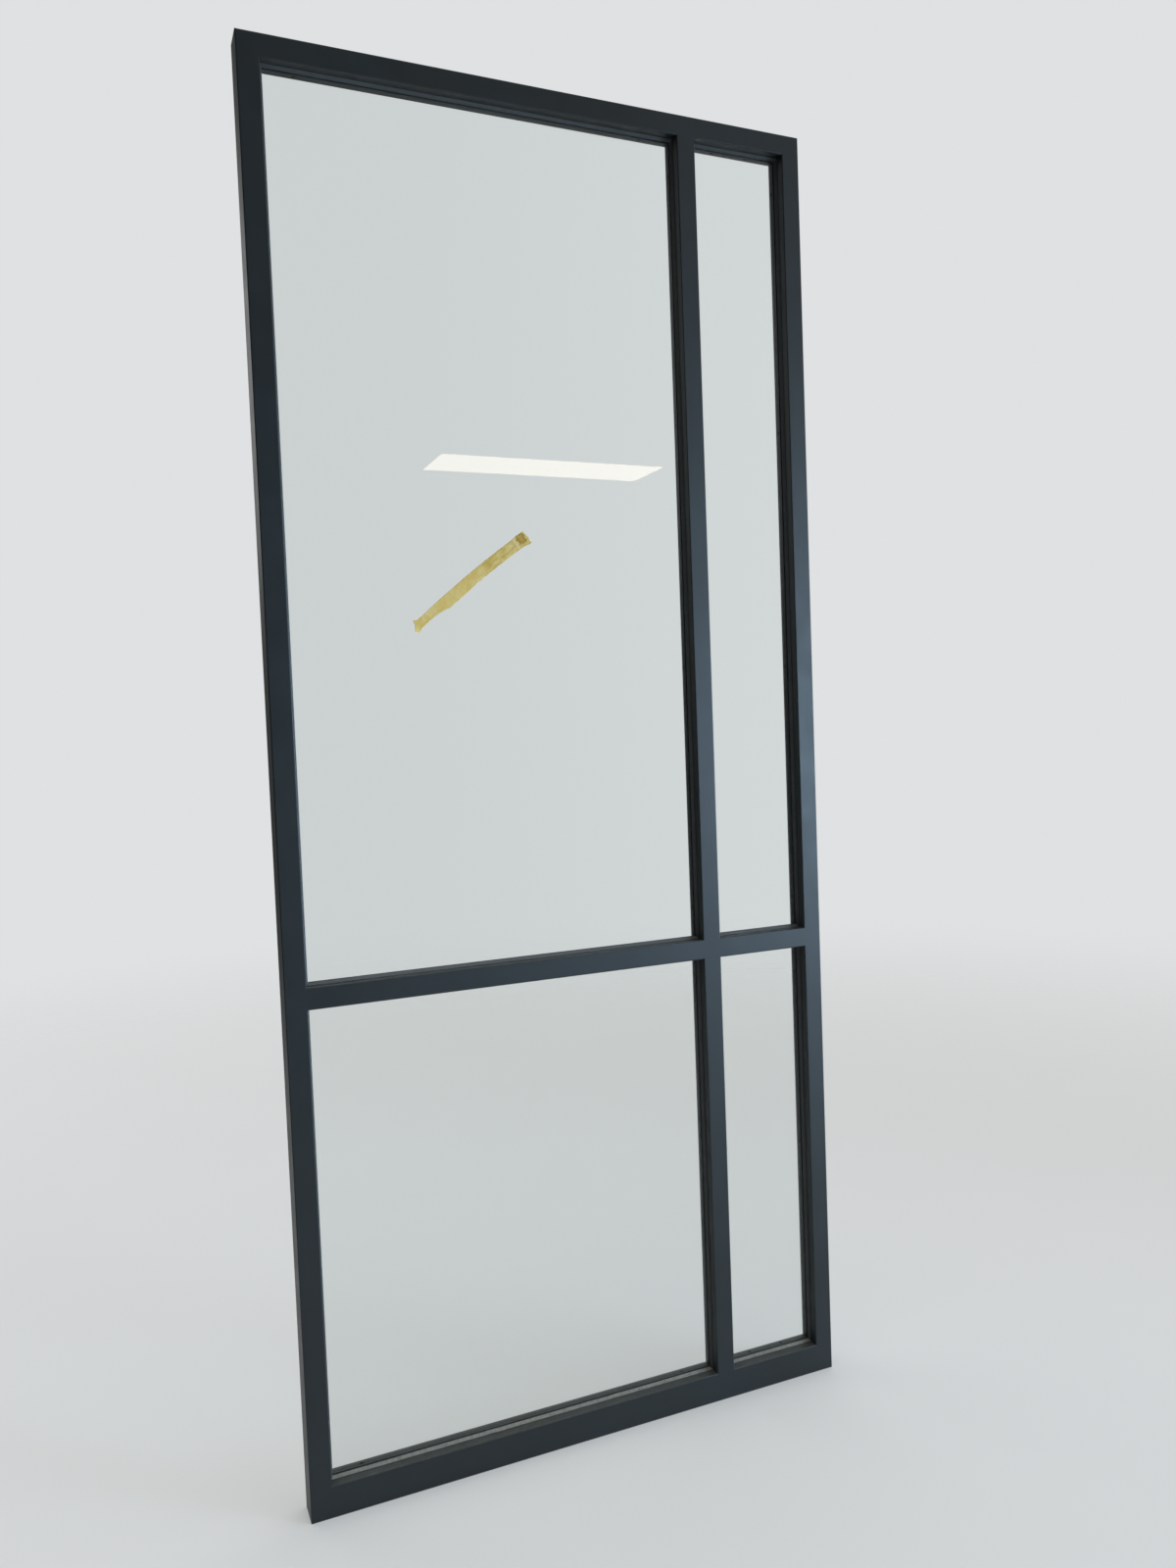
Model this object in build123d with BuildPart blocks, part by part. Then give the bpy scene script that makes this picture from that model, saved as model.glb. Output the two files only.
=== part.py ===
"""Glazed door leaf: a welded steel frame of slim hollow bars with four panes of clear glass.

X runs across the leaf, Y from its front face to its back, and Z up. The origin is the middle of its foot.
"""

from build123d import *

import os
from math import atan, cos, degrees, pi

# Leaf, in millimetres
leaf_width = 986.0
leaf_height = 2300.0
leaf_depth = 50.0

# Bars, as wide as they look from the front
stile_face = 35.0
top_rail_face = 35.0
bottom_rail_face = 52.0
mullion_face = 35.0
transom_face = 35.0
right_pane_width = 179.0
lower_pane_height = 767.0

# Section of every bar: a head in front of the glass and a narrower web behind it
head_depth = 16.5
rebate_height = 13.0
bar_wall = 2.0
arris_radius = 2.0
end_cap_thickness = 2.0

# Glass and its gaskets
glass_thickness = 8.0
glass_cover = 10.0
glass_arris = 0.8
gasket_thickness = 4.5
gasket_nose = 4.6
gasket_bevel = 4.0

# Blocks that carry and centre each pane, as long as these shares of its sides
setting_block_share = 0.15
location_block_share = 0.05
block_width = 7.0

# Glazing beads and their countersunk screws
bead_wall = 1.5
bead_corner = 1.0
screw_sides = 12
screw_shank_radius = 1.7
screw_head_radius = 3.4
screw_length = 16.5
screw_clearance = 0.1
hole_runout = 2.0
screw_end_distance = 55.0
upper_upright_screws = 4
lower_upright_screws = 3
level_screws = 2

# Strip of masking tape on the large pane
tape_length = 254.0
tape_width = 20.0
tape_thickness = 0.3
tape_angle = 38.4
tape_start_across = 203.0
tape_start_up = 558.4

# Torn outline of the strip, as shares of its length along it and of half its width across it
tape_torn_end = ((0.026, 1.25), (0.020, 0.33), (-0.010, -0.42), (0.007, -0.92))
tape_lower_edge = (
    (0.05, -0.63),
    (0.12, -0.50),
    (0.19, -0.58),
    (0.24, -0.75),
    (0.275, -1.03),
    (0.39, -0.97),
    (0.48, -0.88),
    (0.58, -0.87),
    (0.71, -0.92),
    (0.84, -1.05),
    (0.94, -1.22),
    (0.97, -1.48),
)
tape_far_end = ((0.996, -1.58), (1.0, 0.0), (0.996, 0.85))
tape_upper_edge = (
    (0.95, 1.00),
    (0.894, 0.97),
    (0.776, 1.08),
    (0.64, 1.20),
    (0.48, 1.22),
    (0.38, 1.17),
    (0.245, 1.13),
    (0.12, 0.95),
    (0.05, 0.92),
)
tape_doubled_end = ((0.912, 0.97), (0.985, 0.92), (0.992, 0.0), (0.968, -0.85), (0.918, -0.74))

# Planes and lines that the pieces share
front = -leaf_depth / 2
back = leaf_depth / 2
glazing_front = front + head_depth
glass_front = glazing_front + gasket_thickness
glass_back = glass_front + glass_thickness
bead_front = glass_back + gasket_thickness
left_edge = -leaf_width / 2
right_edge = leaf_width / 2
left_sight = left_edge + stile_face
right_sight = right_edge - stile_face
mullion_right = right_sight - right_pane_width
mullion_left = mullion_right - mullion_face
foot_sight = bottom_rail_face
head_sight = leaf_height - top_rail_face
transom_low = foot_sight + lower_pane_height
transom_high = transom_low + transom_face
block_thickness = rebate_height - glass_cover
head_taper = screw_head_radius - screw_shank_radius
screw_slope = degrees(atan(cos(pi / screw_sides)))

# Sight openings: low and high across, low and high up
panes = {
    "upper_left": (left_sight, mullion_left, transom_high, head_sight),
    "upper_right": (mullion_right, right_sight, transom_high, head_sight),
    "lower_left": (left_sight, mullion_left, foot_sight, transom_low),
    "lower_right": (mullion_right, right_sight, foot_sight, transom_low),
}

os.makedirs("parts", exist_ok=True)


def front_view(depth):
    """Plane seen from the front, X across and Z up, at one depth through the leaf."""
    return Plane.XZ.offset(-depth)


def span(low_a, high_a, low_b, high_b):
    """Rectangle between two pairs of limits, in the sketch that is open."""
    with Locations(((low_a + high_a) / 2, (low_b + high_b) / 2)):
        Rectangle(high_a - low_a, high_b - low_b)


def grown(sight, margin):
    """Limits of an opening moved outwards on all four sides."""
    low_x, high_x, low_z, high_z = sight
    return low_x - margin, high_x + margin, low_z - margin, high_z + margin


def save(piece, name):
    """Label a finished piece and write it."""
    piece.label = name
    export_step(piece, f"parts/{name}.step")


def screw_places(sight, upright_screws):
    """Screws of one pane: side of the pane, then place and direction of the screw on the bead's face."""
    low_x, high_x, low_z, high_z = sight
    depth = (bead_front + back) / 2
    first_z = low_z + screw_end_distance
    first_x = low_x + screw_end_distance
    step_z = (high_z - screw_end_distance - first_z) / (upright_screws - 1)
    step_x = (high_x - screw_end_distance - first_x) / (level_screws - 1)
    places = []
    for index in range(upright_screws):
        places.append(("left", (low_x, depth, first_z + index * step_z), (1, 0, 0)))
        places.append(("right", (high_x, depth, first_z + index * step_z), (-1, 0, 0)))
    for index in range(level_screws):
        places.append(("bottom", (first_x + index * step_x, depth, low_z), (0, 0, 1)))
        places.append(("top", (first_x + index * step_x, depth, high_z), (0, 0, -1)))
    return places


def make_screw_form(margin, top, length):
    """Countersunk many-sided screw pointing down from the origin, larger all round by a margin."""
    with BuildPart() as form:
        with BuildSketch(Plane(origin=(0, 0, top), z_dir=(0, 0, -1))):
            RegularPolygon(screw_head_radius + margin, screw_sides)
        extrude(amount=head_taper, taper=screw_slope)
        with BuildSketch(Plane(origin=(0, 0, top - head_taper), z_dir=(0, 0, -1))):
            RegularPolygon(screw_shank_radius + margin, screw_sides)
        extrude(amount=length - head_taper)
    return form.part


screws = {
    pane: screw_places(sight, upper_upright_screws if pane.startswith("upper") else lower_upright_screws)
    for pane, sight in panes.items()
}
one_screw = make_screw_form(0, -screw_clearance, screw_length)
one_hole = make_screw_form(screw_clearance, 0, screw_length + hole_runout)

# The whole welded and ground frame, from which each bar takes its outer shape
with BuildPart() as frame_blank:
    with BuildSketch(front_view(front)):
        span(left_edge, right_edge, 0, leaf_height)
    extrude(amount=-leaf_depth)
    for sight in panes.values():
        with BuildSketch(front_view(front)):
            span(*sight)
        extrude(amount=-leaf_depth, mode=Mode.SUBTRACT)
        with BuildSketch(front_view(glazing_front)):
            span(*grown(sight, rebate_height))
        extrude(amount=-(leaf_depth - head_depth), mode=Mode.SUBTRACT)
    fillet(frame_blank.faces().sort_by(Axis.Y)[0].edges(), arris_radius)
    fillet(frame_blank.faces().sort_by(Axis.Y)[-1].outer_wire().edges(), arris_radius)

# All holes together, for the beads and for the webs behind them
with BuildPart() as screw_holes:
    for places in screws.values():
        with Locations(*[Plane(origin=point, z_dir=direction) for _, point, direction in places]):
            add(one_hole)


def upright_bar(name, low_x, high_x, low_rebate, high_rebate, low_z, high_z, web_reach):
    """Hollow bar that stands, with its web running past its head by web_reach at each end."""
    web_low = low_x + low_rebate
    web_high = high_x - high_rebate
    with BuildPart() as body:
        with BuildSketch(Plane.XY.offset(low_z)):
            span(low_x, high_x, front, glazing_front)
        extrude(amount=high_z - low_z)
        with BuildSketch(Plane.XY.offset(low_z - web_reach)):
            span(web_low, web_high, glazing_front, back)
        extrude(amount=high_z - low_z + 2 * web_reach)
    with BuildPart() as hollow:
        with BuildSketch(Plane.XY.offset(low_z)):
            span(low_x + bar_wall, high_x - bar_wall, front + bar_wall, glazing_front - bar_wall)
            span(web_low + bar_wall, web_high - bar_wall, front + bar_wall, back - bar_wall)
        extrude(amount=high_z - low_z)
        with BuildSketch(Plane.XY.offset(low_z - web_reach)):
            span(web_low + bar_wall, web_high - bar_wall, glazing_front + bar_wall, back - bar_wall)
        extrude(amount=high_z - low_z + 2 * web_reach)
    finish_bar(name, body.part, hollow.part)


def level_bar(name, low_z, high_z, low_rebate, high_rebate, low_x, high_x, web_reach):
    """Hollow bar that lies across, with its web running past its head by web_reach at each end."""
    web_low = low_z + low_rebate
    web_high = high_z - high_rebate
    with BuildPart() as body:
        with BuildSketch(Plane.YZ.offset(low_x)):
            span(front, glazing_front, low_z, high_z)
        extrude(amount=high_x - low_x)
        with BuildSketch(Plane.YZ.offset(low_x - web_reach)):
            span(glazing_front, back, web_low, web_high)
        extrude(amount=high_x - low_x + 2 * web_reach)
    with BuildPart() as hollow:
        with BuildSketch(Plane.YZ.offset(low_x)):
            span(front + bar_wall, glazing_front - bar_wall, low_z + bar_wall, high_z - bar_wall)
            span(front + bar_wall, back - bar_wall, web_low + bar_wall, web_high - bar_wall)
        extrude(amount=high_x - low_x)
        with BuildSketch(Plane.YZ.offset(low_x - web_reach)):
            span(glazing_front + bar_wall, back - bar_wall, web_low + bar_wall, web_high - bar_wall)
        extrude(amount=high_x - low_x + 2 * web_reach)
    finish_bar(name, body.part, hollow.part)


def finish_bar(name, body, hollow):
    """Give a bar the frame's rounded arrises, its hollow and its screw holes."""
    with BuildPart() as bar:
        add(frame_blank.part)
        add(body, mode=Mode.INTERSECT)
        add(hollow, mode=Mode.SUBTRACT)
        add(screw_holes.part, mode=Mode.SUBTRACT)
    save(bar.part, name)


upright_bar("left_stile", left_edge, left_sight, 0, rebate_height, 0, leaf_height, 0)
upright_bar("right_stile", right_sight, right_edge, rebate_height, 0, 0, leaf_height, 0)
upright_bar(
    "mullion",
    mullion_left,
    mullion_right,
    rebate_height,
    rebate_height,
    foot_sight,
    head_sight,
    rebate_height,
)
level_bar("bottom_rail", 0, foot_sight, 0, rebate_height, left_sight, right_sight, rebate_height)
level_bar("top_rail", head_sight, leaf_height, rebate_height, 0, left_sight, right_sight, rebate_height)
for side, low_x, high_x in (("left", left_sight, mullion_left), ("right", mullion_right, right_sight)):
    level_bar(
        f"{side}_transom",
        transom_low,
        transom_high,
        rebate_height,
        rebate_height,
        low_x,
        high_x,
        rebate_height,
    )

# End caps close the open ends of the stiles
for side, low_x, high_x, web_low, web_high in (
    ("left", left_edge, left_sight, left_edge, left_sight - rebate_height),
    ("right", right_sight, right_edge, right_sight + rebate_height, right_edge),
):
    for end, level in (("foot", 0), ("head", leaf_height - end_cap_thickness)):
        with BuildPart() as end_cap:
            with BuildSketch(Plane.XY.offset(level)):
                span(low_x + bar_wall, high_x - bar_wall, front + bar_wall, glazing_front - bar_wall)
                span(web_low + bar_wall, web_high - bar_wall, front + bar_wall, back - bar_wall)
            extrude(amount=end_cap_thickness)
        save(end_cap.part, f"{side}_stile_{end}_cap")


def make_glass(name, sight):
    """Pane of toughened glass with ground edges, held on all four sides in the rebate."""
    with BuildPart() as glass:
        with BuildSketch(front_view(glass_front)):
            span(*grown(sight, glass_cover))
        extrude(amount=-glass_thickness)
        rims = glass.edges().filter_by(Axis.Y, reverse=True)
        chamfer(rims, glass_arris)
    save(glass.part, f"{name}_glass")


def make_gasket(name, sight, depth, outward):
    """Rubber frame round one face of a pane, with a bevelled nose that stands past the sight line."""
    with BuildPart() as gasket:
        with BuildSketch(front_view(depth)):
            span(*grown(sight, glass_cover))
        extrude(amount=outward * gasket_thickness)
        with BuildSketch(front_view(depth)):
            span(*grown(sight, -gasket_nose))
        extrude(amount=outward * gasket_thickness, mode=Mode.SUBTRACT)
        open_face = gasket.faces().filter_by(Axis.Y).sort_by(Axis.Y, reverse=outward < 0)[0]
        chamfer(open_face.inner_wires()[0].edges(), gasket_bevel)
    save(gasket.part, name)


def bead_section(low_a, high_a, low_b, high_b):
    """Hollow section of a bead with eased corners, in the sketch that is open."""
    with Locations(((low_a + high_a) / 2, (low_b + high_b) / 2)):
        blank = Rectangle(high_a - low_a, high_b - low_b)
        chamfer(blank.vertices(), bead_corner)
        Rectangle(high_a - low_a - 2 * bead_wall, high_b - low_b - 2 * bead_wall, mode=Mode.SUBTRACT)


def make_bead(pane, sight, side):
    """Hollow bead with countersunk holes; the level beads run past the ends of the upright ones."""
    low_x, high_x, low_z, high_z = sight
    with BuildPart() as bead:
        if side in ("left", "right"):
            outer = low_x - rebate_height if side == "left" else high_x
            with BuildSketch(Plane.XY.offset(low_z)):
                bead_section(outer, outer + rebate_height, bead_front, back)
            extrude(amount=high_z - low_z)
        else:
            outer = low_z - rebate_height if side == "bottom" else high_z
            with BuildSketch(Plane.YZ.offset(low_x - rebate_height)):
                bead_section(bead_front, back, outer, outer + rebate_height)
            extrude(amount=high_x - low_x + 2 * rebate_height)
        for where, point, direction in screws[pane]:
            if where == side:
                with Locations(Plane(origin=point, z_dir=direction)):
                    add(one_hole, mode=Mode.SUBTRACT)
    save(bead.part, f"{pane}_{side}_bead")


def make_screws(pane):
    """Countersunk screws that hold the beads of one pane, one group of like solids."""
    with BuildPart() as group:
        with Locations(*[Plane(origin=point, z_dir=direction) for _, point, direction in screws[pane]]):
            add(one_screw)
    save(group.part, f"{pane}_bead_screws")


def make_blocks(pane, sight):
    """Two setting blocks under the glass and a location block beside it on each side, at quarter points."""
    low_x, high_x, low_z, high_z = sight
    quarter_x = (high_x - low_x) / 4
    upper_quarter = high_z - (high_z - low_z) / 4
    setting_middle = low_z - rebate_height + block_thickness / 2
    with BuildPart() as setting_blocks:
        with Locations((low_x + quarter_x, 0, setting_middle), (high_x - quarter_x, 0, setting_middle)):
            Box(setting_block_share * (high_x - low_x), block_width, block_thickness)
    save(setting_blocks.part, f"{pane}_setting_blocks")
    side_middle = rebate_height - block_thickness / 2
    with BuildPart() as location_blocks:
        with Locations((low_x - side_middle, 0, upper_quarter), (high_x + side_middle, 0, upper_quarter)):
            Box(block_thickness, block_width, location_block_share * (high_z - low_z))
    save(location_blocks.part, f"{pane}_location_blocks")


def tape_points(*runs):
    """Points of the strip's outline in millimetres, from runs of shares."""
    return [(along * tape_length, across * tape_width / 2) for run in runs for along, across in run]


def make_tape():
    """Torn strip of masking tape, narrower near its lower end and doubled back at its upper end."""
    start = Vector(left_sight + tape_start_across, glass_front, transom_high + tape_start_up)
    along = Vector(1, 0, 0).rotate(Axis.Y, -tape_angle)
    tape_plane = Plane(origin=start, x_dir=along, z_dir=(0, -1, 0))
    outline = tape_points(tape_torn_end, tape_lower_edge, tape_far_end, tape_upper_edge)
    with BuildPart() as tape:
        with BuildSketch(tape_plane):
            with BuildLine():
                Polyline(*outline, close=True)
            make_face()
        extrude(amount=tape_thickness)
        with BuildSketch(tape_plane.offset(tape_thickness)):
            with BuildLine():
                Polyline(*tape_points(tape_doubled_end), close=True)
            make_face()
        extrude(amount=tape_thickness)
    save(tape.part, "masking_tape")


for pane, sight in panes.items():
    make_glass(pane, sight)
    make_gasket(f"{pane}_front_gasket", sight, glass_front, 1)
    make_gasket(f"{pane}_back_gasket", sight, glass_back, -1)
    for side in ("left", "right", "bottom", "top"):
        make_bead(pane, sight, side)
    make_screws(pane)
    make_blocks(pane, sight)
make_tape()
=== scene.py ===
"""Finishes, fasteners, tape and studio for a glazed door leaf: a slim welded steel frame with four panes."""

import math

import bmesh
import bpy
import numpy as np
from bpy.props import FloatProperty, FloatVectorProperty, IntProperty, PointerProperty
from bpy.types import NodeSocket, Operator, Panel, PropertyGroup
from mathutils import Matrix, Vector


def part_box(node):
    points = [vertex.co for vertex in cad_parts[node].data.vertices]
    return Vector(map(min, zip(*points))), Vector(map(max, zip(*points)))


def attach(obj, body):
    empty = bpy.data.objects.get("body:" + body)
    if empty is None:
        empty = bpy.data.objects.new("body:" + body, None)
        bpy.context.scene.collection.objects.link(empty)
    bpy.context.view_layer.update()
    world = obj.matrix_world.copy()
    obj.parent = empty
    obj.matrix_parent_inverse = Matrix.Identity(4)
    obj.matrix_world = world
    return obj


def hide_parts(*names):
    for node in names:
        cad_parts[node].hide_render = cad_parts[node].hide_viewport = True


bl_info = {
    "name": "Glazed Door Leaf",
    "version": (1, 0, 0),
    "blender": (4, 5, 0),
    "location": "View3D > Sidebar > Door Leaf",
    "description": "Coats, glazes, seals, screws and lights a glazed steel door leaf",
    "category": "Object",
}

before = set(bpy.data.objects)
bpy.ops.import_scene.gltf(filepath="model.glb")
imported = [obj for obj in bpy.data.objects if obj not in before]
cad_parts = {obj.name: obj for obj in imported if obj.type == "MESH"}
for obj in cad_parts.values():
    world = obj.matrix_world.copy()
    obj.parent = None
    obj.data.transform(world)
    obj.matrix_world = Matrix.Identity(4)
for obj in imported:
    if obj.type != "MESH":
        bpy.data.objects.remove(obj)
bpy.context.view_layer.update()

MM = 0.001
PANES = ("upper_left", "upper_right", "lower_left", "lower_right")
BARS = ("left_stile", "right_stile", "top_rail", "bottom_rail", "mullion", "left_transom", "right_transom")

# Widths of the patterns in the finishes, in millimetres
DUST_PATCH = 7.0
ORANGE_PEEL = 2.5
COAT_DRIFT = 160.0
WIPED_PATCH = 45.0
ROLLER_PITCH = 280.0
GLASS_FILM = 90.0
TALC_BLOOM = 22.0
RUBBER_GRAIN = 0.8
MOULD_GRAIN = 0.5
MOULD_FLOW = 30.0
PLATING_TINT = 14.0
CREPE_PITCH = 2.6
DYE_PATCH = 26.0
GLUE_STREAK = 5.0
PLASTER_MOTTLE = 400.0

# Heights of the reliefs in the finishes, in millimetres
PEEL_HEIGHT = 0.03
ROLLER_WAVE_HEIGHT = 0.03
RUBBER_GRAIN_HEIGHT = 0.03
MOULD_GRAIN_HEIGHT = 0.04
CREPE_HEIGHT = 0.12

# Torn outline of the strip of tape, as shares of its length along it and of half its width across it
TORN_END = ((0.026, 1.25), (0.020, 0.33), (-0.010, -0.42), (0.007, -0.92))
LOWER_EDGE = (
    (0.05, -0.63), (0.12, -0.50), (0.19, -0.58), (0.24, -0.75), (0.275, -1.03), (0.39, -0.97),
    (0.48, -0.88), (0.58, -0.87), (0.71, -0.92), (0.84, -1.05), (0.94, -1.22), (0.97, -1.48),
)
FAR_END = ((0.996, -1.58), (1.0, 0.0), (0.996, 0.85))
UPPER_EDGE = (
    (0.95, 1.00), (0.894, 0.97), (0.776, 1.08), (0.64, 1.20), (0.48, 1.22), (0.38, 1.17),
    (0.245, 1.13), (0.12, 0.95), (0.05, 0.92),
)

# Along the strip, as shares of its length: the crease, the narrow neck and the starts of the curled ends
CREASE_SHARE = 0.905
NECK_SHARE = 0.14
NECK_REACH = 0.09
TORN_CURL_START = 0.035
CORNER_CURL_START = 0.955
CURL_REACH = 0.045

# Across the strip, as shares of half its width: the rolled edge and the start of the curled corner
ROLLED_EDGE_SHARE = -0.42
ROLLED_EDGE_REACH = 0.16
CORNER_CURL_BELOW = -0.55

# Edges of the doubled end, as shares of the strip's length and of half its width
FOLD_NEAR = 0.921
FOLD_FAR = 0.982
FOLD_LOW = -0.62
FOLD_HIGH = 0.90

# How far the strip stands off the glass and off itself, in millimetres
GLUE_LINE = 0.02
WAVE_LIFT = 0.022
CREPE_LIFT = 0.035
ROLLED_EDGE_LIFT = 0.55
NECK_WRINKLE_LIFT = 0.25
TORN_END_CURL = 1.6
CORNER_CURL = 1.4
LEAST_STAND = 0.01
FOLD_GAP = 0.05
FOLD_BULGE = 0.5
FOLD_WRINKLE = 0.12

# Rows across and columns along the strip and its doubled end, and steps of the tear at each end
STRIP_GRID = (18, 190)
FOLD_GRID = (12, 16)
TEAR_STEPS = 20

# Bead screws, in millimetres
SCREW_REACH = 25.0
HEAD_BAND = 0.2
SHANK_START = 5.0
RECESS_RIM = 0.06
RECESS_POINT = 0.25
HEAD_RIM = 0.08
UNDERCUT = 0.05
THREAD_START = 0.4
THREAD_END = 0.8

# Bead screws: the recess's floor and the shank's tip as shares of the width above, and an angle in radians
RECESS_FLOOR_SHARE = 0.62
TIP_SHARE = 0.7
RECESS_CORNER = 0.42

# Lamps: place, the point that they face, width and height, in metres; the window's spread in degrees
STRIP_LAMP = ((1.64, -4.23, 2.70), (1.64, -4.23, 0.0), 1.30, 0.38)
WINDOW = ((4.30, -3.46, 1.02), (0.1, 0.0, 1.02), 2.10, 1.40)
BACK_PANEL = ((-2.20, 3.20, 2.80), (0.0, 0.0, 1.20), 2.40, 1.60)
WINDOW_SPREAD = 40.0

# Direction of the room's lit side
LIT_SIDE = (0.97, 0.24, 0.0)

# Camera: its place in metres and the axes of its picture, then its lens in millimetres
CAMERA_PLACE = (-0.73191, -1.82117, 1.24300)
CAMERA_RIGHT = Vector((0.91915271, -0.39206357, -0.03800600))
CAMERA_DOWN = Vector((-0.05427536, -0.03049268, -0.99806031))
CAMERA_AHEAD = Vector((0.39014419, 0.91943262, -0.04930683))
SENSOR_WIDTH = 36.0
FOCAL_LENGTH = 26.19675
NEAREST_SEEN = 50.0


def linear(code):
    """Linear RGBA of an sRGB hex colour."""
    parts = [int(code[start:start + 2], 16) / 255 for start in (1, 3, 5)]
    return [part / 12.92 if part <= 0.04045 else ((part + 0.055) / 1.055) ** 2.4 for part in parts] + [1.0]


def per_metre(size_mm):
    """Texture scale at which one feature is about this many millimetres wide."""
    return 1000.0 / size_mm


def colour_property(name, description, code):
    """Colour that a user may change, from its sRGB hex default."""
    return FloatVectorProperty(
        name=name, description=description, subtype="COLOR", size=4, min=0.0, max=1.0, default=linear(code)
    )


def length_property(name, description, size_mm):
    """Length that a user may change, from its default in millimetres."""
    return FloatProperty(name=name, description=description, unit="LENGTH", min=0.0, default=size_mm * MM)


def share_property(name, description, share):
    """Share between none and all that a user may change."""
    return FloatProperty(
        name=name, description=description, subtype="FACTOR", min=0.0, max=1.0, default=share
    )


def brightness_property(name, description, level):
    """Brightness that a user may change."""
    return FloatProperty(name=name, description=description, min=0.0, default=level)


class LeafFinishSettings(PropertyGroup):
    """Colours and wear of the frame, glass, gaskets and blocks, with dust and painted top light on their
    ledges.
    """

    coat: colour_property("Coat", "Anthracite powder coat of the frame and beads", "#161D1F")
    coat_light: colour_property("Coat, lighter", "Where the coat lies a little thicker", "#1B2326")
    # Dust and painted top light: a pale colour laid on faces that look up
    dust_and_top_light: colour_property("Dust", "Building dust on the ledges", "#A09B8E")
    dust_and_top_light_amount: share_property("Dust amount", "How much dust covers the ledges", 0.70)
    coat_dust_and_top_light: share_property("Dust on the coat", "How much of the dust stays on the smooth coat", 0.15)
    glass_tint: colour_property("Glass tint", "What one face of the glass lets through", "#F1F5F4")
    glass_passing: colour_property("Glass, passing light", "What a lamp's light keeps in a pane", "#F2F6F4")
    gasket: colour_property("Gasket", "Grey rubber of the glazing gaskets", "#3C4144")
    block: colour_property("Block", "Moulded plastic of the glazing blocks", "#1E2022")
    block_light: colour_property("Block, lighter", "Where the plastic flowed last", "#27292B")


class LeafScrewSettings(PropertyGroup):
    """Sizes and colours of the countersunk bead screws."""

    plating: colour_property("Plating", "Black passivated zinc on the screws", "#26282B")
    plating_bronze: colour_property("Plating, bronze", "Bronze tint that the passivation leaves", "#35312B")
    recess_reach: length_property("Recess reach", "Half the length of the cross recess", 2.0)
    recess_half_width: length_property("Recess half width", "Half the width of one arm of the recess", 0.45)
    recess_depth: length_property("Recess depth", "Depth of the cross recess", 1.5)
    thread_pitch: length_property("Thread pitch", "Rise of the thread in one turn", 1.25)
    thread_depth: length_property("Thread depth", "Depth of the thread", 0.3)
    thread_rings: IntProperty(
        name="Thread rings", description="Rings of vertices in one turn", min=3, max=12, default=5
    )


class LeafTapeSettings(PropertyGroup):
    """Sizes and colours of the strip of masking tape."""

    paper: colour_property("Paper", "Creped face of the tape", "#D5B45C")
    # Painted highlight: the paler colour of the crepe's crests, as if lit
    paper_lit_crest: colour_property("Paper, lighter", "Crests of the tape where it was pulled tight", "#E5CE8F")
    adhesive: colour_property("Adhesive", "Sticky face, also where the tape is doubled back", "#A38027")
    crease: colour_property("Crease", "Cracked dye beside the doubled end", "#EADDAE")
    length: length_property("Length", "Length of the strip", 254.0)
    width: length_property("Width", "Width of the strip", 20.0)
    thickness: length_property("Thickness", "Thickness of one layer", 0.15)
    angle: FloatProperty(
        name="Angle",
        description="Slope of the strip",
        subtype="ANGLE",
        unit="ROTATION",
        default=math.radians(38.4),
    )


class LeafStageSettings(PropertyGroup):
    """Floor, backdrop and lamps."""

    floor: colour_property("Floor", "Pale plain floor", "#DADBDA")
    floor_light: colour_property("Floor, lighter", "Mottle of the floor", "#DEDFDE")
    backdrop: colour_property("Backdrop", "Pale background", "#DFE1E2")
    daylight: colour_property("Daylight", "Cool light of the window", "#C0DFFB")
    lamplight: colour_property("Lamplight", "Warm light of the strip lamp", "#FFF1DA")
    floor_radius: length_property("Floor radius", "How far the floor reaches", 7000.0)
    fade_start: length_property("Fade start", "Where the floor starts to fade into the backdrop", 1500.0)
    fade_end: length_property("Fade end", "Where the floor has faded away", 5500.0)
    floor_veil: share_property("Floor veil", "How far the floor is drawn toward the backdrop", 0.3)
    ceiling: brightness_property("Ceiling", "Brightness of the ceiling", 1.80)
    room: brightness_property("Room", "Brightness of the room behind and beside", 0.65)
    room_front: brightness_property("Room in front", "Brightness of the room in front", 0.06)
    window: brightness_property("Window", "Brightness of the window at the right", 2.6)
    strip_lamp: brightness_property("Strip lamp", "Brightness of the lamp on the ceiling", 7.0)
    back_panel: brightness_property("Back panel", "Brightness of the panel high behind", 1.5)


def add_node(tree, kind, inputs=None, **settings):
    """Add a node with its settings, and set or link its inputs."""
    node = tree.nodes.new(kind)
    for name, value in settings.items():
        setattr(node, name, value)
    for key, value in (inputs or {}).items():
        if isinstance(value, NodeSocket):
            tree.links.new(value, node.inputs[key])
        else:
            node.inputs[key].default_value = value
    return node


def start_material(name):
    """New material with an empty tree, and its object coordinates in metres."""
    material = bpy.data.materials.new(name)
    material.use_nodes = True
    tree = material.node_tree
    tree.nodes.clear()
    place = add_node(tree, "ShaderNodeTexCoord").outputs["Object"]
    return material, tree, place


def finish_material(material, tree, shader):
    """Link a shader to the material's output."""
    add_node(tree, "ShaderNodeOutputMaterial", {"Surface": shader.outputs[0]})
    return material


def dress(nodes, material):
    """Give CAD nodes one material."""
    for name in nodes:
        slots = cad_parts[name].data.materials
        slots.clear()
        slots.append(material)


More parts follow.
